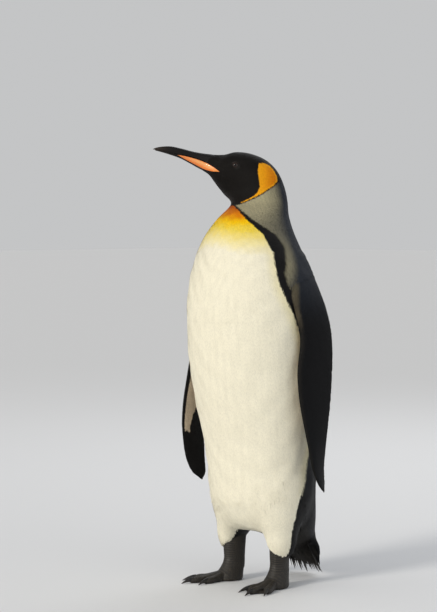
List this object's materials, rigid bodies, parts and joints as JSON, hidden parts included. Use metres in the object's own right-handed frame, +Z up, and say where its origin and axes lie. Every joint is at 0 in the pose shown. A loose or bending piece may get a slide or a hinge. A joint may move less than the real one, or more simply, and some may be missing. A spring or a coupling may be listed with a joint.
{
  "type": "king penguin",
  "caption": "King penguin standing upright and still, head turned to its own right, flippers at its sides, feet flat and tail tips touching the ground.",
  "frame": {"origin": "on the floor, under the middle of the bird's outline seen from above", "axes": "+Z up; the bird's breast faces -Y; its own left side is +X"},
  "size_m": [0.331, 0.3164, 0.8776],
  "materials": {
    "white_plumage": "matte",
    "slate_plumage": "matte",
    "silver_plumage": "matte",
    "black_plumage": "matte",
    "black_horn": "satin",
    "plate_horn": "satin",
    "eye": "gloss",
    "leg_skin": "matte",
    "claw_horn": "satin"
  },
  "bodies": {
    "root": {"trunk": "white_plumage", "neck": "silver_plumage", "head": "black_plumage", "bill_upper": "black_horn", "bill_lower": "black_horn", "tail": "slate_plumage", "bill_plate_left": "plate_horn", "eye_left": "eye", "flipper_left": "slate_plumage", "thigh_left": "white_plumage", "tarsus_left": "leg_skin", "foot_left": "leg_skin", "claw_left_inner": "claw_horn", "claw_left_middle": "claw_horn", "claw_left_outer": "claw_horn", "bill_plate_right": "plate_horn", "eye_right": "eye", "flipper_right": "slate_plumage", "thigh_right": "white_plumage", "tarsus_right": "leg_skin", "foot_right": "leg_skin", "claw_right_inner": "claw_horn", "claw_right_middle": "claw_horn", "claw_right_outer": "claw_horn"}
  },
  "joints": []
}
